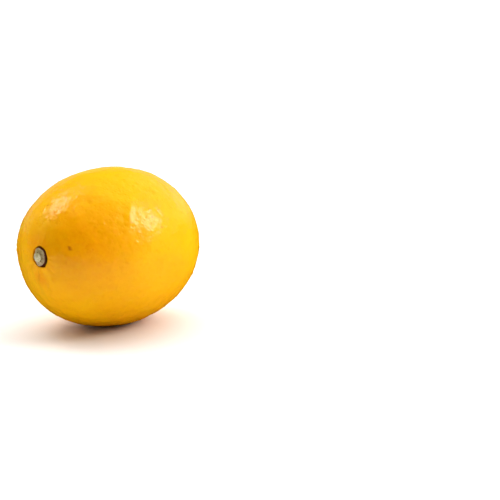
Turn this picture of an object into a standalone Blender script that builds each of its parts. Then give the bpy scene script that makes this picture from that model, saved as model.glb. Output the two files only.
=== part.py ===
"""A whole lemon lying on its side, with the dried stem button still in its stem end.

+X points to the blossom end and +Z is up. The origin is on the resting surface, under the
middle of the bounding box. Every length is in metres.

The fruit is a surface of rings about a long axis: an ellipsoid with a seat for the button
sunk into its stem end, a nipple on its blossom end, and a small flat spot that it rests on.
The stem button is the five-lobed calyx with the stub of the fruit stalk, in one piece.
"""

import math

import bmesh
import bpy
import numpy as np

MM = 0.001

# The fruit's body. The two half lengths run from its widest ring to each rounded end.
FRUIT_RADIUS = 31.0 * MM
STEM_HALF_LENGTH = 40.4 * MM
BLOSSOM_HALF_LENGTH = 39.8 * MM
FRUIT_SECTORS = 48
BODY_RINGS = 26
REST_SPOT_DEPTH = 0.4 * MM

# The ends lean a little, so each end's middle stands off the long axis by this (y, z). The
# lean follows this power of the distance along the axis.
STEM_END_OFFSET = (-4.7 * MM, 2.6 * MM)
BLOSSOM_END_OFFSET = (1.2 * MM, -0.8 * MM)
LEAN_POWER = 6

# The nipple at the blossom end: a blunt knob that runs out into the body around its foot.
NIPPLE_HEIGHT = 4.6 * MM
NIPPLE_FOOT_RADIUS = 7.0 * MM
NIPPLE_STEEPNESS = 2.8
NIPPLE_REACH = 1.6
NIPPLE_RINGS = 10

# The stem button. Its lobes stand out from the calyx's mean radius.
CALYX_RADIUS = 3.5 * MM
CALYX_LOBES = 5
CALYX_LOBE_RELIEF = 0.25 * MM
CALYX_THICKNESS = 1.7 * MM
CALYX_EDGE_ROUND = 0.3 * MM
STUB_RADIUS = 1.8 * MM
STUB_FOOT_FLARE = 0.3 * MM
STUB_HEIGHT = 0.8 * MM
STUB_CHAMFER = 0.25 * MM
BUTTON_SECTORS = 40

# The seat in the stem end, which takes its radius from the button.
BUTTON_CLEARANCE = 0.4 * MM
BUTTON_GAP = 0.3 * MM
SEAT_RADIUS = CALYX_RADIUS + CALYX_LOBE_RELIEF + BUTTON_CLEARANCE
SEAT_DEPTH = 1.4 * MM
SEAT_WALL_WIDTH = 0.5 * MM
SEAT_LIP = SEAT_RADIUS + SEAT_WALL_WIDTH
COLLAR_HEIGHT = 0.4 * MM
COLLAR_WIDTH = 2.2 * MM
COLLAR_RINGS = 4

SEAT_FLOOR_X = -(STEM_HALF_LENGTH - SEAT_DEPTH)
BUTTON_FOOT_X = SEAT_FLOOR_X - BUTTON_GAP
STEM_TIP_X = BUTTON_FOOT_X - CALYX_THICKNESS - STUB_HEIGHT
BLOSSOM_TIP_X = BLOSSOM_HALF_LENGTH + NIPPLE_HEIGHT
MIDDLE_X = (STEM_TIP_X + BLOSSOM_TIP_X) / 2
AXIS_HEIGHT = FRUIT_RADIUS - REST_SPOT_DEPTH

# Colours are sRGB shares of red, green and blue.
PEEL_COLOUR = (0.96, 0.69, 0.07)
PEEL_ROUGHNESS = 0.38
BUTTON_COLOUR = (0.56, 0.50, 0.36)
BUTTON_ROUGHNESS = 0.85


def linear(share):
    """One sRGB share as the linear value that a shader takes."""
    return share / 12.92 if share <= 0.04045 else ((share + 0.055) / 1.055) ** 2.4


def make_material(name, colour, roughness):
    material = bpy.data.materials.new(name)
    material.use_nodes = True
    shader = material.node_tree.nodes["Principled BSDF"]
    shader.inputs["Base Color"].default_value = (*map(linear, colour), 1.0)
    shader.inputs["Roughness"].default_value = roughness
    shader.inputs["Metallic"].default_value = 0.0
    return material


def smooth_step(low, high, value):
    """0 up to low, 1 from high on, and an S-curve between them."""
    share = np.clip((value - low) / (high - low), 0.0, 1.0)
    return share * share * (3.0 - 2.0 * share)


def ring_angles():
    """Polar angles of the fruit's rings, from the stem end to the blossom end.

    They are close together over the seat, its collar and the nipple, and even between.
    """
    collar_edge = SEAT_LIP + 1.5 * COLLAR_WIDTH
    stem_radii = [SEAT_RADIUS / 2, SEAT_RADIUS, (SEAT_RADIUS + SEAT_LIP) / 2]
    stem_radii += list(np.linspace(SEAT_LIP, collar_edge, COLLAR_RINGS))
    nipple_radii = np.linspace(NIPPLE_REACH * NIPPLE_FOOT_RADIUS, 0.0, NIPPLE_RINGS, endpoint=False)
    stem = np.arcsin(np.array(stem_radii) / FRUIT_RADIUS)
    nipple = math.pi - np.arcsin(nipple_radii / FRUIT_RADIUS)
    body = np.linspace(stem[-1], nipple[0], BODY_RINGS + 2)[1:-1]
    return np.concatenate([stem, body, nipple])


def fruit_point(angle, turn):
    """The point of the fruit's skin at a polar angle and a turn about the long axis.

    An ellipse gives the distance from the axis and the place along it. The nipple and the
    collar are bell curves of the distance from the axis, and the seat has a flat floor. The
    rings inside the seat's lip share one middle, so the button stands centred in it.
    """
    radius = FRUIT_RADIUS * np.sin(angle)
    along = np.cos(angle)
    if along > 0:
        collar = COLLAR_HEIGHT * np.exp(-(((radius - SEAT_LIP) / COLLAR_WIDTH) ** 2))
        skin = -STEM_HALF_LENGTH * along - collar
        x = SEAT_FLOOR_X + (skin - SEAT_FLOOR_X) * smooth_step(SEAT_RADIUS, SEAT_LIP, radius)
        offset = STEM_END_OFFSET
        along_at_lip = math.sqrt(1.0 - (SEAT_LIP / FRUIT_RADIUS) ** 2)
        lean = min(along / along_at_lip, 1.0) ** LEAN_POWER
    else:
        nipple = NIPPLE_HEIGHT * np.exp(-((radius / NIPPLE_FOOT_RADIUS) ** NIPPLE_STEEPNESS))
        x = -BLOSSOM_HALF_LENGTH * along + nipple
        offset = BLOSSOM_END_OFFSET
        lean = along**LEAN_POWER
    y = radius * math.cos(turn) + offset[0] * lean
    z = radius * math.sin(turn) + offset[1] * lean
    return (x, y, z)


def close_with_rings(mesh, rings, first_pole, last_pole):
    """Fills the walls between neighbouring rings, and a fan from each pole to its end ring."""
    count = len(rings[0])
    for near, far in zip(rings, rings[1:]):
        for i in range(count):
            j = (i + 1) % count
            mesh.faces.new((near[i], near[j], far[j], far[i]))
    for i in range(count):
        j = (i + 1) % count
        mesh.faces.new((first_pole, rings[0][j], rings[0][i]))
        mesh.faces.new((last_pole, rings[-1][i], rings[-1][j]))


def cut_rest_spot(mesh):
    """Cuts the skin flat where the fruit rests, and closes the cut with one face."""
    everything = mesh.verts[:] + mesh.edges[:] + mesh.faces[:]
    cut = bmesh.ops.bisect_plane(
        mesh,
        geom=everything,
        dist=0.00001,
        plane_co=(0.0, 0.0, -AXIS_HEIGHT),
        plane_no=(0.0, 0.0, -1.0),
        clear_outer=True,
    )
    rim = [item for item in cut["geom_cut"] if isinstance(item, bmesh.types.BMEdge)]
    bmesh.ops.edgeloop_fill(mesh, edges=rim)


def finish_object(name, mesh, material, sharp_angle):
    """Makes a named, smoothly shaded object of a bmesh, with its faces pointing outwards."""
    bmesh.ops.recalc_face_normals(mesh, faces=mesh.faces[:])
    data = bpy.data.meshes.new(name)
    mesh.to_mesh(data)
    mesh.free()
    data.shade_smooth()
    data.set_sharp_from_angle(angle=sharp_angle)
    data.materials.append(material)
    made = bpy.data.objects.new(name, data)
    bpy.context.scene.collection.objects.link(made)
    return made


def build_fruit(parent):
    mesh = bmesh.new()
    turns = np.arange(FRUIT_SECTORS) * 2.0 * math.pi / FRUIT_SECTORS
    rings = [[mesh.verts.new(fruit_point(angle, turn)) for turn in turns] for angle in ring_angles()]
    stem_pole = mesh.verts.new(fruit_point(0.0, 0.0))
    blossom_pole = mesh.verts.new(fruit_point(math.pi, 0.0))
    close_with_rings(mesh, rings, stem_pole, blossom_pole)
    cut_rest_spot(mesh)
    peel = make_material("peel", PEEL_COLOUR, PEEL_ROUGHNESS)
    fruit = finish_object("fruit", mesh, peel, math.radians(30))
    fruit.parent = parent
    fruit.location = (-MIDDLE_X, 0.0, AXIS_HEIGHT)
    return fruit


def button_profile():
    """(radius, height, share of the lobes) of each ring, from the foot to the stub's cut top."""
    top = CALYX_THICKNESS
    stub_top = top + STUB_HEIGHT
    return [
        (CALYX_RADIUS - CALYX_EDGE_ROUND, 0.0, 1.0),
        (CALYX_RADIUS, CALYX_EDGE_ROUND, 1.0),
        (CALYX_RADIUS, top - 2 * CALYX_EDGE_ROUND, 1.0),
        (CALYX_RADIUS - CALYX_EDGE_ROUND, top - CALYX_EDGE_ROUND, 1.0),
        ((CALYX_RADIUS + STUB_RADIUS) / 2, top - CALYX_EDGE_ROUND / 2, 0.5),
        (STUB_RADIUS + STUB_FOOT_FLARE, top, 0.0),
        (STUB_RADIUS, top + STUB_FOOT_FLARE, 0.0),
        (STUB_RADIUS, stub_top - STUB_CHAMFER, 0.0),
        (STUB_RADIUS - STUB_CHAMFER, stub_top, 0.0),
    ]


def build_stem_button(parent):
    """Modelled about its own axis with its foot at z = 0, then turned to face -X on the seat."""
    mesh = bmesh.new()
    turns = np.arange(BUTTON_SECTORS) * 2.0 * math.pi / BUTTON_SECTORS
    rings = []
    for radius, height, lobes in button_profile():
        reach = radius + lobes * CALYX_LOBE_RELIEF * np.cos(CALYX_LOBES * turns)
        rings.append(
            [mesh.verts.new((r * math.cos(t), r * math.sin(t), height)) for r, t in zip(reach, turns)]
        )
    foot = mesh.verts.new((0.0, 0.0, 0.0))
    tip = mesh.verts.new((0.0, 0.0, CALYX_THICKNESS + STUB_HEIGHT))
    close_with_rings(mesh, rings, foot, tip)
    bark = make_material("stem_button", BUTTON_COLOUR, BUTTON_ROUGHNESS)
    button = finish_object("stem_button", mesh, bark, math.radians(40))
    button.parent = parent
    button.rotation_euler = (0.0, -math.pi / 2, 0.0)
    button.location = (
        BUTTON_FOOT_X - MIDDLE_X,
        STEM_END_OFFSET[0],
        STEM_END_OFFSET[1] + AXIS_HEIGHT,
    )
    return button


def main():
    for leftover in list(bpy.data.objects):
        bpy.data.objects.remove(leftover, do_unlink=True)
    lemon = bpy.data.objects.new("lemon", None)
    bpy.context.scene.collection.objects.link(lemon)
    build_fruit(lemon)
    build_stem_button(lemon)


main()
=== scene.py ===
import math

import bpy
import numpy as np
from bpy.props import FloatProperty, FloatVectorProperty, IntProperty, PointerProperty
from mathutils import Matrix, Vector


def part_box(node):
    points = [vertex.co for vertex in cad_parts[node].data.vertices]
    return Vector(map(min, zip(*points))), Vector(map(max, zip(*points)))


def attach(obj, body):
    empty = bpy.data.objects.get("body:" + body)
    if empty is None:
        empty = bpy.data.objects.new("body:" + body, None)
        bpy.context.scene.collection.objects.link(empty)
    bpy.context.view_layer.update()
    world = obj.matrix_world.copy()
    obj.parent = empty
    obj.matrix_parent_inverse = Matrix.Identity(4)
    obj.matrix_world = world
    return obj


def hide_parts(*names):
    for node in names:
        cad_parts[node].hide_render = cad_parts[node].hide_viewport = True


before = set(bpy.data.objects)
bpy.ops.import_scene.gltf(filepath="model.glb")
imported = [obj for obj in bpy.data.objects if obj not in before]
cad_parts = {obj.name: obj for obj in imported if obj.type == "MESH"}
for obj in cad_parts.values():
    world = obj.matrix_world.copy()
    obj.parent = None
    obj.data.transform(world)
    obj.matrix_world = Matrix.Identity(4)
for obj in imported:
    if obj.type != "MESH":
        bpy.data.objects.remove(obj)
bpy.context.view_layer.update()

bl_info = {
    "name": "Lemon",
    "version": (1, 0, 0),
    "blender": (4, 5, 0),
    "location": "3D View > Sidebar > Lemon",
    "description": "Peel, stem button and studio for a whole lemon lying on its side",
    "category": "Add Mesh",
}

MM = 0.001

# Where the solids are. The fruit's long axis runs along X, with the stem end at -X.
FRUIT_LOW, FRUIT_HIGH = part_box("fruit")
BUTTON_LOW, BUTTON_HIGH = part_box("stem_button")
BUTTON_MIDDLE = (BUTTON_LOW + BUTTON_HIGH) / 2
FRUIT_RADIUS = (FRUIT_HIGH.y - FRUIT_LOW.y) / 2
REST_SPOT_DEPTH = 2 * FRUIT_RADIUS - (FRUIT_HIGH.z - FRUIT_LOW.z)
AXIS_HEIGHT = FRUIT_RADIUS - REST_SPOT_DEPTH

# How the fruit's length is shared out, from the nipple's tip to the seat of the button.
NIPPLE_HEIGHT = 4.6 * MM
BLOSSOM_HALF_LENGTH = 39.8 * MM
SEAT_DEPTH = 1.4 * MM
BUTTON_GAP = 0.3 * MM
WIDEST_X = FRUIT_HIGH.x - NIPPLE_HEIGHT - BLOSSOM_HALF_LENGTH
SEAT_FLOOR_X = BUTTON_HIGH.x + BUTTON_GAP
STEM_HALF_LENGTH = WIDEST_X - SEAT_FLOOR_X + SEAT_DEPTH

# The middle of each end stands off the long axis by this (y, z), and the lean follows this
# power of the distance along the axis.
STEM_END_OFFSET = (BUTTON_MIDDLE.y, BUTTON_MIDDLE.z - AXIS_HEIGHT)
BLOSSOM_END_OFFSET = (1.2 * MM, -0.8 * MM)
LEAN_POWER = 6

# The calyx's mean radius is this much less than its solid reaches, and its green patch lies at
# this turn about the button, in radians.
CALYX_INSET = 0.5 * MM
GREEN_TURN = 1.5

# The peel's grid: round rings on both end caps, and rings of equal count between them.
CAP_RINGS = 64
BODY_RINGS = 128
SECTORS = 8 * CAP_RINGS
LAST_RING = 2 * CAP_RINGS + BODY_RINGS

# Soft noises that add up to the fruit's broad swells and to its small bumps: the size of the
# lumps in mm, their share, and the noise's salt.
SWELLS = [(21.0, 1.0, 11), (9.0, 0.45, 12), (4.4, 0.3, 13)]
BUMPS = [(1.5, 0.35, 14), (2.6, 1.0, 15)]

# Small corky specks: polar angle from the stem end and turn about the long axis, in degrees, and
# radius in mm. The largest is near the stem button.
SPECK_DEPTH = 0.015 * MM
SPECKS = [
    (26.9, 159.0, 0.8),
    (39.1, 86.4, 0.3),
    (82.8, 151.0, 0.3),
    (79.2, 157.5, 0.25),
    (87.3, 159.3, 0.35),
    (112.0, 38.0, 0.5),
    (61.0, 12.0, 0.45),
    (128.0, 118.0, 0.4),
    (98.0, -22.0, 0.5),
    (52.0, 48.0, 0.3),
    (140.0, 196.0, 0.45),
]

# Patches that ripened to a deeper orange, given in the same way. The broad patches on the underside are
# painted shade: a deeper, darker orange where the fruit lies in shade by the floor.
WARM_AND_SHADE_PATCHES = [
    (25.2, 172.4, 3.5),
    (38.0, 160.0, 23.0),
    (15.0, 274.0, 5.0),
    (4.0, 90.0, 11.0),
    (92.0, 270.0, 36.0),
    (117.0, 30.0, 14.0),
    (95.0, 300.0, 16.0),
]

# Shallow furrows and small dents in the peel: where each starts and ends (polar angle, turn), its
# half width and its depth in mm. A depth below 0 makes a low ridge.
FURROWS = [
    ((77.0, 127.0), (66.5, 156.0), 1.5, 0.3),
    ((8.5, 272.0), (21.0, 281.0), 0.9, 0.22),
    ((12.0, 250.0), (31.0, 266.0), 0.8, -0.16),
    ((36.0, 118.0), (50.0, 112.0), 1.6, 0.1),
    ((52.0, 98.0), (42.0, 110.0), 0.9, 0.13),
    ((40.5, 90.0), (38.5, 93.5), 1.3, 0.17),
    ((36.5, 106.0), (34.5, 99.0), 0.7, 0.1),
    ((45.5, 92.0), (44.0, 97.0), 0.8, 0.1),
    ((118.0, 300.0), (132.0, 312.0), 1.4, 0.12),
    ((104.0, 20.0), (119.0, 12.0), 1.5, 0.12),
]

# The lamps that the peel's gloss mirrors: name, azimuth and elevation in degrees, distance, width and
# height in metres, and watts.
SOFT_BOXES = [
    ("right_soft_box", 36.0, 33.0, 3.0, 1.0, 1.3, 33.0),
    ("back_window", 85.0, 28.0, 3.0, 3.4, 2.1, 7.0),
    ("left_soft_box", -172.0, 55.0, 3.0, 0.9, 1.2, 16.0),
    ("backdrop", 132.0, 12.0, 3.1, 7.0, 1.2, 8.0),
]

# The light tent. Its cloth fades out between two cosines of the angle from the opening's middle.
# It gives these shares of its light at the horizon and overhead, and this share opposite the
# opening, which evens out by this cosine.
OPENING_AZIMUTH = math.radians(-62.0)
OPENING_ELEVATION = math.radians(18.0)
OPENING_EDGE = (-0.05, 0.7)
HORIZON_SHARE = 0.3
ROOF_SHARE = 1.85
BACK_SHARE = 0.4
BACK_EDGE = -0.1

# What the camera sees behind the floor, a little over white.
SEEN_WHITE = 1.1

# Odd numbers that spread the whole numbers of a cell and of a salt over the bits of one number.
CELL_MIX = (73856093, 19349663, 83492791)
SALT_MIX = 668265263
FIRST_MIX = 2246822519
SECOND_MIX = 3266489917


# ---------------------------------------------------------------- colours and settings


def rgb(code):
    """An sRGB hex colour as the linear red, green and blue that a shader takes."""
    shares = [int(code[i : i + 2], 16) / 255 for i in (1, 3, 5)]
    return tuple(c / 12.92 if c <= 0.04045 else ((c + 0.055) / 1.055) ** 2.4 for c in shares)


def length(name, description, millimetres):
    return FloatProperty(
        name=name,
        description=description,
        default=millimetres * MM,
        unit="LENGTH",
        subtype="DISTANCE",
    )


def angle(name, description, degrees):
    return FloatProperty(
        name=name,
        description=description,
        default=math.radians(degrees),
        unit="ROTATION",
        subtype="ANGLE",
    )


def colour(name, description, code):
    return FloatVectorProperty(
        name=name, description=description, default=rgb(code), subtype="COLOR", min=0.0, max=1.0
    )


class LemonPeelSettings(bpy.types.PropertyGroup):
    nipple_foot: length("Nipple foot", "Radius of the nipple's foot", 7.0)
    nipple_height: length("Nipple height", "How far the nipple stands out", NIPPLE_HEIGHT / MM)
    seat_radius: length("Seat radius", "Radius of the hollow that holds the stem button", 3.5)
    seat_wall: length("Seat wall", "How far the hollow's wall slopes outwards", 0.5)
    collar_height: length("Collar height", "How far the peel swells round the stem button", 0.4)
    collar_width: length("Collar width", "How far that swelling reaches", 2.4)
    rib_height: length("Rib height", "Height of the ribs that run out from the stem button", 0.13)
    swell_height: length("Swell height", "Height of the fruit's broad unevenness", 0.3)
    pebble_height: length("Pebble height", "Height of the peel's small bumps", 0.13)
    gland_spacing: length("Gland spacing", "Mean distance between the larger oil glands", 2.4)
    gland_depth: length("Gland depth", "Depth of the dimple over the largest oil glands", 0.15)
    ripe: colour("Ripe colour", "The peel where it is fully ripe", "#F8B500")
    deep: colour("Deep colour", "The peel where more of the orange shows", "#F6AC00")
    pale: colour("Pale colour", "The peel towards the fruit's ends", "#F0B200")
    gland: colour("Gland colour", "The peel over an oil gland", "#F09E00")
    # Deeper orange for ripened patches, and painted shade on the underside.
    warm_and_shade: colour("Warm colour", "Broad patches that ripened to a deeper orange", "#EE9400")
    bright: colour("Bright colour", "The fine light mottling between the glands", "#FFC200")
    scar: colour("Scar colour", "Corky scars and specks", "#B04E08")
    # Dried skin in the hollow, darkened further as painted shade of the crevice under the calyx.
    hollow: colour("Hollow colour", "The dry skin in the hollow round the stem button", "#8A4608")


class LemonButtonSettings(bpy.types.PropertyGroup):
    lobes: IntProperty(
        name="Lobes", description="Number of sepals round the calyx", default=5, min=3, max=7
    )
    lobe_relief: length("Lobe relief", "How far a sepal stands out of the mean radius", 0.12)
    calyx_thickness: length("Calyx thickness", "Thickness of the calyx at its middle", 1.7)
    stub_radius: length("Stub radius", "Radius of the cut stalk", 1.8)
    face: colour("Calyx face", "The weathered outer face of the calyx", "#C3B187")
    worn: colour("Worn patches", "Where the calyx's face has browned", "#A48C68")
    fibre: colour("Calyx fibres", "Dark fibres that show through the calyx's face", "#7A6040")
    # Dried margin, and painted shade on the calyx's side and underside.
    edge: colour("Calyx edge", "The dried margin and side of the calyx", "#5C2A08")
    moss: colour("Green patch", "The part of the button that is still green", "#96894A")
    cut: colour("Cut stalk", "The dried cut face of the stalk", "#D6CFA8")
    pith: colour("Pith", "The darker pores of the cut face", "#A99B74")
    bark: colour("Bark", "The stalk's thin bark", "#A8986C")
    dark_bark: colour("Dark bark", "Streaks in the stalk's bark", "#7C6740")


class LemonStageSettings(bpy.types.PropertyGroup):
    azimuth: angle("Camera azimuth", "Where the camera stands, with 0 looking along +Y", -45.0)
    elevation: angle("Camera elevation", "How far the camera stands above the fruit's middle", 10.95)
    pan: angle("Pan", "How far the camera turns away, which leaves room beside the fruit", -7.42)
    tilt: angle("Tilt", "How far the camera looks down", 11.25)
    distance: length("Camera distance", "From the camera to the fruit's middle", 430.0)
    focal_length: FloatProperty(
        name="Focal length", description="Of the lens, on a 36 mm sensor", default=78.5, unit="CAMERA"
    )
    floor_width: length("Floor width", "Side of the square floor", 5000.0)
    tent_light: FloatProperty(
        name="Tent light", description="Radiance of the white cloth a third of the way up", default=2.2
    )
    tent_opening: FloatProperty(
        name="Tent opening", description="Radiance in the opening at the camera's side", default=0.02
    )
    floor: colour("Floor", "Coated white paper", "#F8F7F5")


# ---------------------------------------------------------------- numpy surfaces


def smooth_step(low, high, value):
    """0 up to low, 1 from high on, and the curve 3t² - 2t³ between them."""
    t = np.clip((value - low) / (high - low), 0.0, 1.0)
    return t * t * (3.0 - 2.0 * t)


def scatter(cells, salt):
    """A fixed share from 0 to 1 for each whole-number cell (..., 3): its numbers, mixed as bits."""
    mixed = np.bitwise_xor.reduce(cells * CELL_MIX, axis=-1)
    mixed = (mixed ^ (salt * SALT_MIX)) & 0xFFFFFFFF
    mixed = ((mixed ^ (mixed >> 15)) * FIRST_MIX) & 0xFFFFFFFF
    mixed = ((mixed ^ (mixed >> 13)) * SECOND_MIX) & 0xFFFFFFFF
    return ((mixed ^ (mixed >> 16)) & 0xFFFFFF) / 0xFFFFFF


def soft_noise(points, size, salt):
    """Smooth noise from -1 to 1 at points (..., 3), with a noise of its own for each salt.

    It blends the shares of a cell's eight corners with the curve 3t² - 2t³.
    """
    place = points / size
    cell = np.floor(place).astype(np.int64)
    t = smooth_step(0.0, 1.0, place - cell)
    total = np.zeros(points.shape[:-1])
    for corner in np.ndindex(2, 2, 2):
        weight = np.prod(np.where(corner, t, 1.0 - t), axis=-1)
        total += weight * scatter(cell + corner, salt)
    return 2.0 * total - 1.0


def mixed_noise(points, parts):
    """A sum of soft noises, each given as (size in mm, share, salt)."""
    return sum(share * soft_noise(points, size * MM, salt) for size, share, salt in parts)


def nearest_dot(points, spacing, salt):
    """Cell noise: one dot stands at a scattered place in each cell of a cubic grid.

    Gives the distance to the nearest dot, in spacings, and a share from 0 to 1 of that dot's own.
    """
    place = points / spacing
    cell = np.floor(place).astype(np.int64)
    best = np.full(len(points), np.inf)
    own = np.zeros(len(points))
    for step in np.ndindex(3, 3, 3):
        near = cell + step - 1
        dot = near + np.stack([scatter(near, salt + k) for k in range(3)], axis=1)
        gap = np.linalg.norm(place - dot, axis=1)
        closer = gap < best
        best = np.where(closer, gap, best)
        own = np.where(closer, scatter(near, salt + 3), own)
    return best, own


def vertex_normals(points, quads):
    """Unit normals: each quad's normal is the cross product of its diagonals, summed at corners."""
    a, b, c, d = (points[quads[:, k]] for k in range(4))
    faces = np.cross(c - a, d - b)
    total = np.zeros_like(points)
    for k in range(4):
        np.add.at(total, quads[:, k], faces)
    return total / np.linalg.norm(total, axis=1, keepdims=True)


def make_piece(name, points, faces, material, attributes=None):
    """A smooth mesh object of points (n, 3) and faces, each a list of (m, 3) or (m, 4) corners."""
    mesh = bpy.data.meshes.new(name)
    sizes = np.concatenate([np.full(len(f), f.shape[1]) for f in faces])
    mesh.vertices.add(len(points))
    mesh.vertices.foreach_set("co", points.astype(np.float32).ravel())
    mesh.loops.add(int(sizes.sum()))
    mesh.loops.foreach_set("vertex_index", np.concatenate([f.ravel() for f in faces]).astype(np.int32))
    mesh.polygons.add(len(sizes))
    mesh.polygons.foreach_set("loop_start", (np.cumsum(sizes) - sizes).astype(np.int32))
    mesh.update(calc_edges=True)
    mesh.shade_smooth()
    for label, values in (attributes or {}).items():
        layer = mesh.attributes.new(label, "FLOAT", "POINT")
        layer.data.foreach_set("value", values.astype(np.float32))
    mesh.materials.append(material)
    piece = bpy.data.objects.new(name, mesh)
    bpy.context.scene.collection.objects.link(piece)
    return piece


# ---------------------------------------------------------------- the peel's shape


def cap_grid(from_blossom):
    """(ring, sector) numbers of a square grid that is bent into a round cap.

    The square rings about its centre become circles: ring k has 8k places, counted round the
    square from the middle of its first side.
    """
    steps = np.arange(-CAP_RINGS, CAP_RINGS + 1)
    i, j = np.meshgrid(steps, steps, indexing="ij")
    ring = np.maximum(abs(i), abs(j))
    sides = [i == ring, j == ring, i == -ring, j == -ring]
    sector = np.select(sides, [j, 2 * ring - i, 4 * ring - j, 6 * ring + i])
    count = np.maximum(8 * ring, 1)
    turn = 2 * math.pi * (sector % count) / count
    numbers = (LAST_RING - ring if from_blossom else ring) * SECTORS + sector % count
    return numbers, turn


def body_grid():
    """(ring, sector) numbers of the straight grid between the two caps."""
    rings = np.arange(CAP_RINGS, CAP_RINGS + BODY_RINGS + 1)
    sectors = np.arange(SECTORS + 1)
    ring, sector = np.meshgrid(rings, sectors, indexing="ij")
    return ring * SECTORS + sector % SECTORS, 2 * math.pi * (sector % SECTORS) / SECTORS


def quads_of(numbers, flip):
    """The quads between neighbouring rows of a grid of point numbers."""
    corners = [numbers[:-1, :-1], numbers[1:, :-1], numbers[1:, 1:], numbers[:-1, 1:]]
    quads = np.stack([c.ravel() for c in corners], axis=1)
    return quads[:, ::-1] if flip else quads


def peel_grid():
    """Ring numbers and turns of the peel's places, and the quads between them, closed all round."""
    patches = [cap_grid(False), body_grid(), cap_grid(True)]
    quads = np.concatenate([quads_of(p[0], flip) for p, flip in zip(patches, (False, False, True))])
    numbers = np.concatenate([p[0].ravel() for p in patches])
    turns = np.concatenate([p[1].ravel() for p in patches])
    kept, first = np.unique(numbers, return_index=True)
    return kept // SECTORS, turns[first], np.searchsorted(kept, quads)


def ring_polar(ring, s):
    """Polar angle of each ring, from 0 at the stem to pi: straight between a few knots.

    The rings are closest over the wall of the seat and on the nipple.
    """
    seat_rings, wall_rings = 12, 22
    wall_end = s.seat_radius + 1.3 * s.seat_wall
    wall = np.arcsin(np.array([s.seat_radius, wall_end]) / FRUIT_RADIUS)
    nipple_reach = 1.6 * s.nipple_foot
    nipple = math.pi - math.asin(nipple_reach / FRUIT_RADIUS)
    cap = math.radians(45)
    blossom_cap = LAST_RING - CAP_RINGS
    nipple_ring = LAST_RING - CAP_RINGS // 2
    knots = [0, seat_rings, wall_rings, CAP_RINGS, blossom_cap, nipple_ring, LAST_RING]
    angles = [0.0, wall[0], wall[1], cap, math.pi - cap, nipple, math.pi]
    return np.interp(ring, knots, angles)


def nipple_rise(radius, turn, s):
    """How far the nipple stands out: a bell curve, a furrow on one side of its foot, low wrinkles
    that run down its flank, and the sunken scar that the style left on its tip."""
    foot = radius / s.nipple_foot
    knob = s.nipple_height * np.exp(-(foot**2.8))
    furrow_side = 0.55 + 0.45 * np.cos(turn - 2.2)
    furrow = 0.55 * MM * furrow_side * np.exp(-(((foot - 1.35) / 0.22) ** 2))
    flank = smooth_step(0.12, 0.4, foot) * (1.0 - smooth_step(0.7, 1.2, foot))
    wrinkles = np.cos(7 * turn + 0.6) + 0.6 * np.cos(12 * turn + 2.0) + 0.5 * np.cos(3 * turn)
    scar = 0.3 * MM * (1.0 - smooth_step(0.6 * MM, 1.15 * MM, radius))
    lip = 0.12 * MM * np.exp(-(((radius - 1.5 * MM) / (0.5 * MM)) ** 2))
    return knob - furrow + 0.1 * MM * flank * wrinkles - scar + lip


def stem_x(radius, turn, along, s):
    """X of the stem end: the ellipse, swollen into a ribbed collar, with the seat sunk into it.

    The seat is flat out to its radius, then its wall rises along the curve 3t² - 2t³.
    """
    uneven = 0.12 * MM * (np.cos(3 * turn + 1.0) + 0.7 * np.cos(7 * turn + 2.5))
    lip = s.seat_radius + s.seat_wall + uneven
    beyond = np.maximum(radius - lip, 0.0)
    collar = s.collar_height * np.exp(-((beyond / s.collar_width) ** 2))
    ribs = np.cos(6 * turn + 0.9) + 0.7 * np.cos(10 * turn + 3.0) + 0.5 * np.cos(17 * turn + 0.3)
    reach = smooth_step(0.2 * MM, 1.5 * MM, beyond) * np.exp(-beyond / (4.5 * MM))
    skin = -STEM_HALF_LENGTH * along - collar - s.rib_height * reach * ribs
    floor = SEAT_FLOOR_X - WIDEST_X
    return floor + (skin - floor) * smooth_step(s.seat_radius + uneven, lip, radius)


def plain_skin(polar, turn, s):
    """The skin before its fine relief: rings about the long axis whose radius is a sine and whose
    place along it a cosine, with the ends' own shapes, and each ring's centre on a bowed axis."""
    radius = FRUIT_RADIUS * np.sin(polar)
    along = np.cos(polar)
    blossom_x = -BLOSSOM_HALF_LENGTH * along + nipple_rise(radius, turn, s)
    stem = along > 0
    x = np.where(stem, stem_x(radius, turn, along, s), blossom_x)
    lip = s.seat_radius + s.seat_wall
    along_at_lip = math.sqrt(1.0 - (lip / FRUIT_RADIUS) ** 2)
    lean = np.where(stem, np.minimum(along / along_at_lip, 1.0), along) ** LEAN_POWER
    y = radius * np.cos(turn) + lean * np.where(stem, STEM_END_OFFSET[0], BLOSSOM_END_OFFSET[0])
    z = radius * np.sin(turn) + lean * np.where(stem, STEM_END_OFFSET[1], BLOSSOM_END_OFFSET[1])
    return np.stack([WIDEST_X + x, y, AXIS_HEIGHT + z], axis=1), radius, along


def skin_spot(polar_degrees, turn_degrees, s):
    """The point of the plain skin at a polar angle and a turn."""
    return plain_skin(np.radians([polar_degrees]), np.radians([turn_degrees]), s)[0][0]


def rest_flat(z):
    """Presses the skin flat where it rests: a smooth maximum of the height and 0."""
    softness = 0.1 * MM
    return z / 2 + np.sqrt(z * z / 4 + softness * softness)


def speck_mask(points, specks, s):
    """1 inside each speck and 0 outside, with a ragged edge. A speck is (polar, turn, radius)."""
    ragged = 1.0 + 0.45 * soft_noise(points, 0.6 * MM, 61)
    mask = np.zeros(len(points))
    for polar, turn, size in specks:
        gap = np.linalg.norm(points - skin_spot(polar, turn, s), axis=1) / (size * MM * ragged)
        mask = np.maximum(mask, 1.0 - smooth_step(0.55, 1.25, gap))
    return mask


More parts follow.
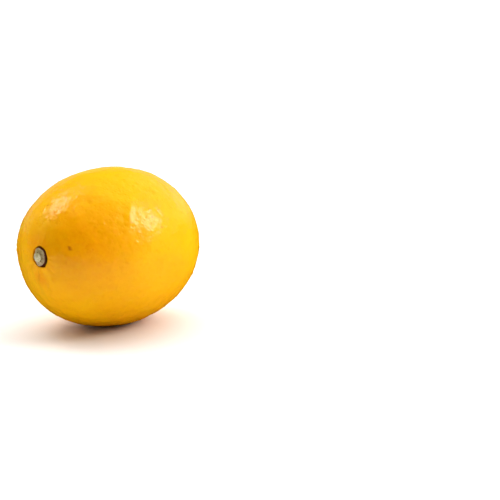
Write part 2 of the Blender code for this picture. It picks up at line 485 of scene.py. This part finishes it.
def furrow_depth(points, s):
    """How deep the furrows cut: a bell curve of the distance to each furrow's straight line."""
    depth = np.zeros(len(points))
    for start, end, half_width, deep in FURROWS:
        a = skin_spot(*start, s)
        line = skin_spot(*end, s) - a
        share = np.clip((points - a) @ line / (line @ line), 0.0, 1.0)
        gap = np.linalg.norm(points - a - share[:, None] * line, axis=1)
        fade = np.sin(math.pi * np.clip(share, 0.04, 0.96)) ** 0.7
        depth += deep * MM * fade * np.exp(-((gap / (half_width * MM)) ** 2))
    return depth


def build_peel(s, material):
    """The peel: the plain skin, pushed along its normals by its relief.

    The relief is broad swells, small bumps and low ridges, less the furrows, a dimple over each
    oil gland and a shallow dent in each speck. The swells fade out towards both ends, and the
    bumps and the dimples stop at the seat. The marks give the material where each finish lies.
    """
    ring, turn, quads = peel_grid()
    points, radius, along = plain_skin(ring_polar(ring, s), turn, s)
    normals = vertex_normals(points, quads)
    stem = along > 0
    lip = s.seat_radius + s.seat_wall
    beyond_seat = np.where(stem, smooth_step(5.0 * MM, 12.0 * MM, radius), 1.0)
    open_skin = np.where(stem, smooth_step(lip, lip + 2 * MM, radius), 1.0)
    at_nipple = np.where(stem, 0.0, 1.0 - smooth_step(3.0 * MM, 11.0 * MM, radius))

    # Each gland's own share sets how wide and how deep its dimple is.
    gap, own = nearest_dot(points, s.gland_spacing, 21)
    gland = (1.0 - smooth_step(0.02, 0.3 + 0.16 * own, gap)) * smooth_step(0.1, 0.7, own)
    gland *= open_skin * (1.0 - 0.4 * at_nipple)

    specks = speck_mask(points, SPECKS, s)
    relief = s.swell_height * mixed_noise(points, SWELLS) * beyond_seat * (1.0 - 0.6 * at_nipple)
    relief += s.pebble_height * mixed_noise(points, BUMPS) * open_skin
    relief -= furrow_depth(points, s) + s.gland_depth * gland + SPECK_DEPTH * specks
    points = points + relief[:, None] * normals
    points[:, 2] = rest_flat(points[:, 2])

    # The hollow round the button is brown for its dried skin and for painted shade of the crevice under
    # the calyx, browner on its -Y side.
    edge = s.seat_radius + 0.5 * s.seat_wall
    seat = np.where(stem, 1.0 - smooth_step(edge - 0.3 * MM, edge + 0.4 * MM, radius), 0.0)
    seat *= 0.6 - 0.4 * np.cos(turn)
    style = np.where(stem, 0.0, 1.0 - smooth_step(0.8 * MM, 1.6 * MM, radius))
    # The deeper orange of ripened patches, and on the underside painted shade where the fruit lies by
    # the floor.
    warm_and_shade = np.zeros(len(points))
    for patch_polar, patch_turn, size in WARM_AND_SHADE_PATCHES:
        middle = skin_spot(patch_polar, patch_turn, s)
        reach = np.linalg.norm(points - middle, axis=1) / (size * MM)
        warm_and_shade = np.maximum(warm_and_shade, 1.0 - smooth_step(0.1, 1.1, reach))
    marks = {
        "gland": gland,
        "seat": seat,
        "scar": np.maximum(specks, style),
        "warm_and_shade": warm_and_shade,
        "ends": at_nipple,
    }
    return make_piece("lemon_peel", points, [quads], material, marks)


# ---------------------------------------------------------------- the stem button's shape


def turned_piece(name, rows, material, attributes):
    """A closed skin of points (ring, sector, 3), whose first and last rings are single points."""
    rings, sectors = rows.shape[:2]
    walls = np.arange((rings - 2) * sectors).reshape(rings - 2, sectors) + 1
    walls = np.concatenate([walls, walls[:, :1]], axis=1)
    last = (rings - 2) * sectors + 1
    quads = quads_of(walls, False)
    first_fan = np.stack([walls[0, 1:] * 0, walls[0, :-1], walls[0, 1:]], axis=1)
    last_fan = np.stack([walls[-1, 1:] * 0 + last, walls[-1, 1:], walls[-1, :-1]], axis=1)

    def strip(values):
        inner = values[1:-1].reshape(-1, *values.shape[2:])
        return np.concatenate([values[:1, 0], inner, values[-1:, 0]])

    marks = {label: strip(values) for label, values in attributes.items()}
    return make_piece(name, strip(rows), [quads, first_fan, last_fan], material, marks)


def seat_to_world(radius, turn, height):
    """Cylinder places on the seat, with height measured out of the fruit, as points."""
    x = BUTTON_HIGH.x - height
    y = BUTTON_MIDDLE.y + radius * np.cos(turn)
    z = BUTTON_MIDDLE.z + radius * np.sin(turn)
    return np.stack(np.broadcast_arrays(x, y, z), axis=-1)


def build_calyx(s, material):
    """The calyx: a disc of blunt sepals.

    Along its profile t runs from 0 at the middle of its outer face to 1 at the middle of its
    foot. Its radius is a power of the sine of pi t, which the sepals push in and out, and its
    height goes as a power of the cosine, from a low dome over a round edge to the flat foot. Its
    outer face has lumps, a fine grain, grooves that run outwards and a notch between sepals.
    """
    rings, sectors = 96, 240
    t = np.linspace(0.0, 1.0, rings)[:, None]
    turn = np.linspace(0.0, 2 * math.pi, sectors, endpoint=False)[None, :]
    mean = (BUTTON_HIGH.y - BUTTON_LOW.y) / 2 - CALYX_INSET
    oval = 1.0 - 0.09 * np.cos(2 * turn)
    sepals = np.cos(s.lobes * turn + 0.4)
    blunt = np.sign(sepals) * abs(sepals) ** 0.8
    uneven = 0.14 * np.cos(2 * turn + 1.2) + 0.1 * np.cos(3 * turn + 4.0) + 0.06 * np.cos(11 * turn)
    edge = mean * oval + s.lobe_relief * (blunt + uneven)
    out = np.broadcast_to(np.sin(math.pi * t) ** 0.42, (rings, sectors))
    radius = edge * out
    swing = np.cos(math.pi * t)
    half = s.calyx_thickness / 2
    height = half + half * np.sign(swing) * abs(swing) ** 0.45

    outer = 1.0 - smooth_step(0.5, 0.62, t)
    notch = 0.12 * MM * smooth_step(0.6, 1.0, out) * (0.5 - 0.5 * sepals) ** 2
    groove_turn = turn + 0.08 * np.sin(3 * turn + 9 * out)
    grooves = np.cos(23 * groove_turn) + 0.8 * np.cos(37 * groove_turn + 2.0)
    grooves = 0.035 * MM * grooves * smooth_step(0.45, 0.8, out)
    places = seat_to_world(radius, turn, height)
    lumps = soft_noise(places, 1.1 * MM, 31)
    grain = soft_noise(places, 0.35 * MM, 32)
    height = height + outer * (0.1 * MM * lumps + 0.035 * MM * grain + grooves - notch)

    # The dark brown covers the calyx's rim for its dried margin, and its side and whole underside as
    # painted shade of the gap under it.
    side = smooth_step(0.955, 1.0, out + 0.012 * lumps + 0.008 * grain)
    side = np.maximum(side, smooth_step(0.3, 0.42, t))
    green = np.exp(-(((turn - GREEN_TURN) / 0.9) ** 2)) * np.exp(-(((out - 0.55) / 0.28) ** 2))
    marks = {"edge": side, "green": green * outer}
    return turned_piece("calyx", seat_to_world(radius, turn, height), material, marks)


def build_stub(s, material):
    """The stub of the stalk: a round bar with low ridges, flared where it meets the calyx.

    Its radius and height follow straight lines between knots of t, which runs from 0 at the
    middle of the cut face to 1 inside the calyx. The cut face is dished, with a fine grain, and
    the pith stands a little proud in its middle.
    """
    rings, sectors = 72, 144
    knots = [0.0, 0.1, 0.3, 0.42, 0.5, 0.56, 0.7, 0.82, 0.9, 1.0]
    radii = [0.0, 0.55, 0.84, 0.97, 1.0, 1.0, 1.03, 1.12, 0.9, 0.0]
    heights = [1.02, 0.93, 0.96, 0.93, 0.8, 0.7, 0.45, 0.2, 0.0, 0.0]
    sunk = 0.35 * MM
    foot = s.calyx_thickness - sunk
    tall = BUTTON_HIGH.x - BUTTON_LOW.x - foot
    t = np.linspace(0.0, 1.0, rings)[:, None]
    turn = np.linspace(0.0, 2 * math.pi, sectors, endpoint=False)[None, :]
    ridges = 0.05 * np.cos(9 * turn + 1.0) + 0.03 * np.cos(14 * turn) + 0.05 * np.cos(2 * turn + 0.5)
    radius = np.interp(t, knots, radii) * s.stub_radius * (1.0 + ridges * smooth_step(0.2, 0.45, t))
    height = foot + np.interp(t, knots, heights) * tall
    grain = soft_noise(seat_to_world(radius, turn, height), 0.4 * MM, 41)
    height = height + 0.05 * MM * grain * (1.0 - smooth_step(0.35, 0.5, t))
    face = np.broadcast_to(1.0 - smooth_step(0.36, 0.46, t), (rings, sectors))
    green = np.broadcast_to(np.exp(-(((turn - GREEN_TURN) / 0.8) ** 2)), (rings, sectors))
    marks = {"face": face, "green": green}
    return turned_piece("stalk_stub", seat_to_world(radius, turn, height), material, marks)


# ---------------------------------------------------------------- materials


def add_node(tree, kind, inputs=None, **settings):
    """Adds a node with its settings. An input takes a value, a colour or another node's output."""
    node = tree.nodes.new(kind)
    for name, value in settings.items():
        setattr(node, name, value)
    for name, value in (inputs or {}).items():
        socket = node.inputs[name]
        if isinstance(value, bpy.types.NodeSocket):
            tree.links.new(value, socket)
        elif socket.type == "RGBA":
            socket.default_value = (*value, 1.0)
        else:
            socket.default_value = value
    return node


def new_material(name):
    """A material without nodes, and its node tree."""
    material = bpy.data.materials.new(name)
    material.use_nodes = True
    material.node_tree.nodes.clear()
    return material, material.node_tree


def read_patterns(tree, place, labels, noises):
    """What a finish follows: the piece's own marks by label, and noises by name.

    A noise is (size of its lumps in mm, detail, roughness).
    """
    patterns = {}
    for label in labels:
        patterns[label] = add_node(tree, "ShaderNodeAttribute", attribute_name=label).outputs["Fac"]
    for name, (size, detail, roughness) in noises.items():
        inputs = {"Vector": place, "Scale": 1.0 / (size * MM), "Detail": detail, "Roughness": roughness}
        patterns[name] = add_node(tree, "ShaderNodeTexNoise", inputs).outputs["Fac"]
    return patterns


def lay_colours(tree, tint, layers):
    """Lays colours over one another.

    A layer is (pattern, low, high, most, colour). Its share of the mix rises from 0 where the
    pattern is at low to most where it is at high.
    """
    for pattern, low, high, most, colour_over in layers:
        reach = {"Value": pattern, "From Min": low, "From Max": high, "To Max": most}
        share = add_node(tree, "ShaderNodeMapRange", reach).outputs["Result"]
        mix = add_node(tree, "ShaderNodeMix", {0: share, 6: tint, 7: colour_over}, data_type="RGBA")
        tint = mix.outputs[2]
    return tint


def peel_material(s):
    """Ripe lemon peel, a waxy skin over oil glands.

    The wax gives a soft satin gloss, the coloured layer under it lets light in a little way, and
    each oil gland shows as a darker, more orange dot at the bottom of its dimple.
    """
    material, tree = new_material("ripe_waxy_peel")
    place = add_node(tree, "ShaderNodeTexCoord").outputs["Object"]
    noises = {
        "ripeness": (16.0, 3.0, 0.5),
        "mottling": (1.1, 2.0, 0.5),
        "wax": (2.5, 3.0, 0.5),
        "grain": (0.25, 2.0, 0.5),
    }
    patterns = read_patterns(tree, place, ("ends", "warm_and_shade", "gland", "scar", "seat"), noises)
    layers = [
        (patterns["ripeness"], 0.35, 0.65, 1.0, s.deep),
        (patterns["ends"], 0.0, 1.0, 0.5, s.pale),
        # Ripened patches, and painted shade on the underside.
        (patterns["warm_and_shade"], 0.0, 1.0, 0.8, s.warm_and_shade),
        (patterns["mottling"], 0.3, 0.7, 0.22, s.bright),
        (patterns["gland"], 0.0, 1.0, 0.28, s.gland),
        (patterns["scar"], 0.0, 1.0, 0.7, s.scar),
        # The hollow: dried skin and painted shade round the button.
        (patterns["seat"], 0.0, 1.0, 1.0, s.hollow),
    ]
    wax = {"Value": patterns["wax"], "From Min": 0.3, "From Max": 0.7, "To Min": 0.2, "To Max": 0.27}
    gloss = add_node(tree, "ShaderNodeMapRange", wax)

    # Pits over the small glands, about 1.2 mm apart, and the skin's own grain of 0.25 mm.
    pores = add_node(
        tree,
        "ShaderNodeTexVoronoi",
        {"Vector": place, "Scale": 1.0 / (1.2 * MM), "Smoothness": 0.35},
        feature="SMOOTH_F1",
    )
    rise = {"Value": pores.outputs["Distance"], "From Min": 0.05, "From Max": 0.5}
    pits = add_node(tree, "ShaderNodeMapRange", rise).outputs["Result"]
    dimples = add_node(tree, "ShaderNodeBump", {"Height": pits, "Strength": 1.0, "Distance": 0.05 * MM})
    grain = add_node(
        tree,
        "ShaderNodeBump",
        {
            "Height": patterns["grain"],
            "Strength": 1.0,
            "Distance": 0.006 * MM,
            "Normal": dimples.outputs["Normal"],
        },
    )
    shader = add_node(
        tree,
        "ShaderNodeBsdfPrincipled",
        {
            "Base Color": lay_colours(tree, s.ripe, layers),
            "Roughness": gloss.outputs["Result"],
            "IOR": 1.45,
            "Metallic": 0.0,
            "Specular IOR Level": 0.5,
            "Specular Tint": (1.0, 0.92, 0.75),
            "Subsurface Weight": 0.35,
            "Subsurface Radius": (1.0, 0.45, 0.08),
            "Subsurface Scale": 1.8 * MM,
            "Normal": grain.outputs["Normal"],
        },
    )
    add_node(tree, "ShaderNodeOutputMaterial", {"Surface": shader.outputs["BSDF"]})
    return material


def calyx_material(s):
    """Dried calyx: weathered sepal tissue, matt and corky, greyed on its face and dark brown where its
    margin has dried out, with that dark brown carried over its side and underside as painted shade."""
    material, tree = new_material("dried_calyx")
    place = add_node(tree, "ShaderNodeTexCoord").outputs["Object"]
    noises = {"wear": (1.2, 4.0, 0.6), "fibres": (0.35, 3.0, 0.5), "grain": (0.18, 3.0, 0.5)}
    patterns = read_patterns(tree, place, ("green", "edge"), noises)
    layers = [
        (patterns["wear"], 0.35, 0.65, 1.0, s.worn),
        (patterns["fibres"], 0.5, 0.75, 0.6, s.fibre),
        (patterns["green"], 0.0, 1.0, 0.9, s.moss),
        # Dried margin, and painted shade on the side and underside.
        (patterns["edge"], 0.0, 1.0, 1.0, s.edge),
    ]
    grain = add_node(tree, "ShaderNodeBump", {"Height": patterns["grain"], "Distance": 0.03 * MM})
    shader = add_node(
        tree,
        "ShaderNodeBsdfPrincipled",
        {
            "Base Color": lay_colours(tree, s.face, layers),
            "Roughness": 0.85,
            "IOR": 1.45,
            "Metallic": 0.0,
            "Normal": grain.outputs["Normal"],
        },
    )
    add_node(tree, "ShaderNodeOutputMaterial", {"Surface": shader.outputs["BSDF"]})
    return material


def stalk_material(s):
    """Woody citrus stalk, cut and dried: pale porous wood on the cut, thin olive-brown bark."""
    material, tree = new_material("dried_stalk_wood")
    place = add_node(tree, "ShaderNodeTexCoord").outputs["Object"]
    noises = {"streaks": (0.7, 3.0, 0.5), "pith": (0.4, 3.0, 0.5), "pores": (0.15, 3.0, 0.5)}
    patterns = read_patterns(tree, place, ("green", "face"), noises)
    cut_layers = [
        (patterns["pith"], 0.35, 0.7, 1.0, s.pith),
        (patterns["green"], 0.0, 1.0, 0.8, s.moss),
    ]
    layers = [
        (patterns["streaks"], 0.35, 0.65, 1.0, s.dark_bark),
        (patterns["face"], 0.0, 1.0, 1.0, lay_colours(tree, s.cut, cut_layers)),
    ]
    pores = add_node(tree, "ShaderNodeBump", {"Height": patterns["pores"], "Distance": 0.03 * MM})
    shader = add_node(
        tree,
        "ShaderNodeBsdfPrincipled",
        {
            "Base Color": lay_colours(tree, s.bark, layers),
            "Roughness": 0.8,
            "IOR": 1.5,
            "Metallic": 0.0,
            "Normal": pores.outputs["Normal"],
        },
    )
    add_node(tree, "ShaderNodeOutputMaterial", {"Surface": shader.outputs["BSDF"]})
    return material


def paper_material(s):
    """Coated white background paper, with the low, even sheen of its coating."""
    material, tree = new_material("coated_white_paper")
    inputs = {"Base Color": s.floor, "Roughness": 0.5, "IOR": 1.45, "Metallic": 0.0}
    shader = add_node(tree, "ShaderNodeBsdfPrincipled", inputs)
    add_node(tree, "ShaderNodeOutputMaterial", {"Surface": shader.outputs["BSDF"]})
    return material


# ---------------------------------------------------------------- the stage


def aim_vector(azimuth, elevation):
    """Unit vector towards an azimuth and an elevation, as the camera stands: 0 is towards -Y."""
    flat = math.cos(elevation)
    return Vector((math.sin(azimuth) * flat, -math.cos(azimuth) * flat, math.sin(elevation)))


def looking_along(back):
    """Rotation whose -Z looks along -back, with its X level."""
    right = Vector((0, 0, 1)).cross(back).normalized()
    up = back.cross(right)
    return Matrix((right, up, back)).transposed().to_4x4()


def fruit_middle():
    """The middle of the fruit's widest ring."""
    return Vector((WIDEST_X, 0.0, AXIS_HEIGHT))


def add_camera(s):
    """A camera that stands by the settings, and turns from the fruit's middle by pan and tilt."""
    lens = bpy.data.cameras.new("camera")
    lens.sensor_width = 36.0
    lens.lens = s.focal_length
    lens.clip_start = 10 * MM
    lens.clip_end = 50.0
    camera = bpy.data.objects.new("camera", lens)
    place = fruit_middle() + aim_vector(s.azimuth, s.elevation) * s.distance
    turn = looking_along(aim_vector(s.azimuth + s.pan, s.tilt))
    camera.matrix_world = Matrix.Translation(place) @ turn
    bpy.context.scene.collection.objects.link(camera)
    bpy.context.scene.camera = camera


def add_soft_box(name, azimuth, elevation, distance, width, height, watts):
    """A rectangular area lamp that faces the fruit, unseen by the camera."""
    lamp = bpy.data.lights.new(name, "AREA")
    lamp.shape = "RECTANGLE"
    lamp.size = width
    lamp.size_y = height
    lamp.energy = watts
    box = bpy.data.objects.new(name, lamp)
    back = aim_vector(math.radians(azimuth), math.radians(elevation))
    box.matrix_world = Matrix.Translation(fruit_middle() + back * distance) @ looking_along(back)
    box.visible_camera = False
    bpy.context.scene.collection.objects.link(box)


def add_light_tent(s):
    """A world of white cloth with a soft-edged dark opening at the camera's side.

    The cloth is brightest overhead and dimmer where it faces the opening. It lights the peel and
    isn't mirrored in it, as through a polarising filter. The camera sees plain white past the floor.
    """
    world = bpy.data.worlds.new("light_tent")
    world.use_nodes = True
    tree = world.node_tree
    tree.nodes.clear()
    direction = add_node(tree, "ShaderNodeTexCoord").outputs["Generated"]
    opening = tuple(aim_vector(OPENING_AZIMUTH, OPENING_ELEVATION))
    toward = add_node(
        tree, "ShaderNodeVectorMath", {0: direction, 1: opening}, operation="DOT_PRODUCT"
    ).outputs["Value"]
    fade = {
        "Value": toward,
        "From Min": OPENING_EDGE[0],
        "From Max": OPENING_EDGE[1],
        "To Min": s.tent_light,
        "To Max": s.tent_opening,
    }
    lit = add_node(tree, "ShaderNodeMapRange", fade, interpolation_type="SMOOTHSTEP").outputs["Result"]
    height = add_node(tree, "ShaderNodeSeparateXYZ", {"Vector": direction}).outputs["Z"]
    rise = {"Value": height, "To Min": HORIZON_SHARE, "To Max": ROOF_SHARE}
    roof = add_node(tree, "ShaderNodeMapRange", rise).outputs["Result"]
    back = {"Value": toward, "From Min": -1.0, "From Max": BACK_EDGE, "To Min": BACK_SHARE}
    shaded = add_node(tree, "ShaderNodeMapRange", back).outputs["Result"]
    cloth = add_node(tree, "ShaderNodeMath", {0: roof, 1: shaded}, operation="MULTIPLY").outputs["Value"]
    tent = add_node(tree, "ShaderNodeMath", {0: lit, 1: cloth}, operation="MULTIPLY").outputs["Value"]
    seen = add_node(tree, "ShaderNodeLightPath").outputs["Is Camera Ray"]
    level = add_node(tree, "ShaderNodeMix", {0: seen, 2: tent, 3: SEEN_WHITE})
    glow = {"Color": (1.0, 1.0, 1.0), "Strength": level.outputs[0]}
    background = add_node(tree, "ShaderNodeBackground", glow)
    add_node(tree, "ShaderNodeOutputWorld", {"Surface": background.outputs["Background"]})
    bpy.context.scene.world = world
    world.cycles_visibility.glossy = False


# ---------------------------------------------------------------- operators and panel


class LEMON_OT_peel(bpy.types.Operator):
    """Make the fruit's peel, with its glands, nipple, seat and resting spot"""

    bl_idname = "lemon.peel"
    bl_label = "Peel"

    def execute(self, context):
        s = context.scene.lemon_peel
        peel = build_peel(s, peel_material(s))
        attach(peel, "root")
        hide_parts("fruit")
        return {"FINISHED"}


class LEMON_OT_stem_button(bpy.types.Operator):
    """Make the dried stem button: the calyx and the stub of the stalk"""

    bl_idname = "lemon.stem_button"
    bl_label = "Stem button"

    def execute(self, context):
        s = context.scene.lemon_button
        for piece in (build_calyx(s, calyx_material(s)), build_stub(s, stalk_material(s))):
            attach(piece, "root")
            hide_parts("stem_button")
        return {"FINISHED"}


class LEMON_OT_stage(bpy.types.Operator):
    """Make the white floor, the light tent, the soft boxes and the camera"""

    bl_idname = "lemon.stage"
    bl_label = "Stage"

    def execute(self, context):
        s = context.scene.lemon_stage
        half = s.floor_width / 2
        corners = np.array([(-half, -half, 0), (half, -half, 0), (half, half, 0), (-half, half, 0)])
        floor = make_piece("floor", corners, [np.array([[0, 1, 2, 3]])], paper_material(s))
        floor.visible_glossy = False
        add_light_tent(s)
        for soft_box in SOFT_BOXES:
            add_soft_box(*soft_box)
        add_camera(s)
        context.scene.view_settings.view_transform = "Standard"
        return {"FINISHED"}


class LEMON_PT_panel(bpy.types.Panel):
    bl_label = "Lemon"
    bl_idname = "LEMON_PT_panel"
    bl_space_type = "VIEW_3D"
    bl_region_type = "UI"
    bl_category = "Lemon"

    def draw(self, context):
        for group, operator in OPERATORS:
            box = self.layout.box()
            box.operator(operator.bl_idname)
            settings = getattr(context.scene, group)
            for name in settings.__annotations__:
                box.prop(settings, name)


OPERATORS = [
    ("lemon_peel", LEMON_OT_peel),
    ("lemon_button", LEMON_OT_stem_button),
    ("lemon_stage", LEMON_OT_stage),
]
SETTINGS = [
    ("lemon_peel", LemonPeelSettings),
    ("lemon_button", LemonButtonSettings),
    ("lemon_stage", LemonStageSettings),
]


def register():
    for group, settings in SETTINGS:
        bpy.utils.register_class(settings)
        setattr(bpy.types.Scene, group, PointerProperty(type=settings))
    for _, operator in OPERATORS:
        bpy.utils.register_class(operator)
    bpy.utils.register_class(LEMON_PT_panel)


def unregister():
    bpy.utils.unregister_class(LEMON_PT_panel)
    for _, operator in reversed(OPERATORS):
        bpy.utils.unregister_class(operator)
    for group, settings in reversed(SETTINGS):
        delattr(bpy.types.Scene, group)
        bpy.utils.unregister_class(settings)


def main():
    register()
    bpy.ops.lemon.stage()
    bpy.ops.lemon.peel()
    bpy.ops.lemon.stem_button()


if __name__ == "__main__":
    main()
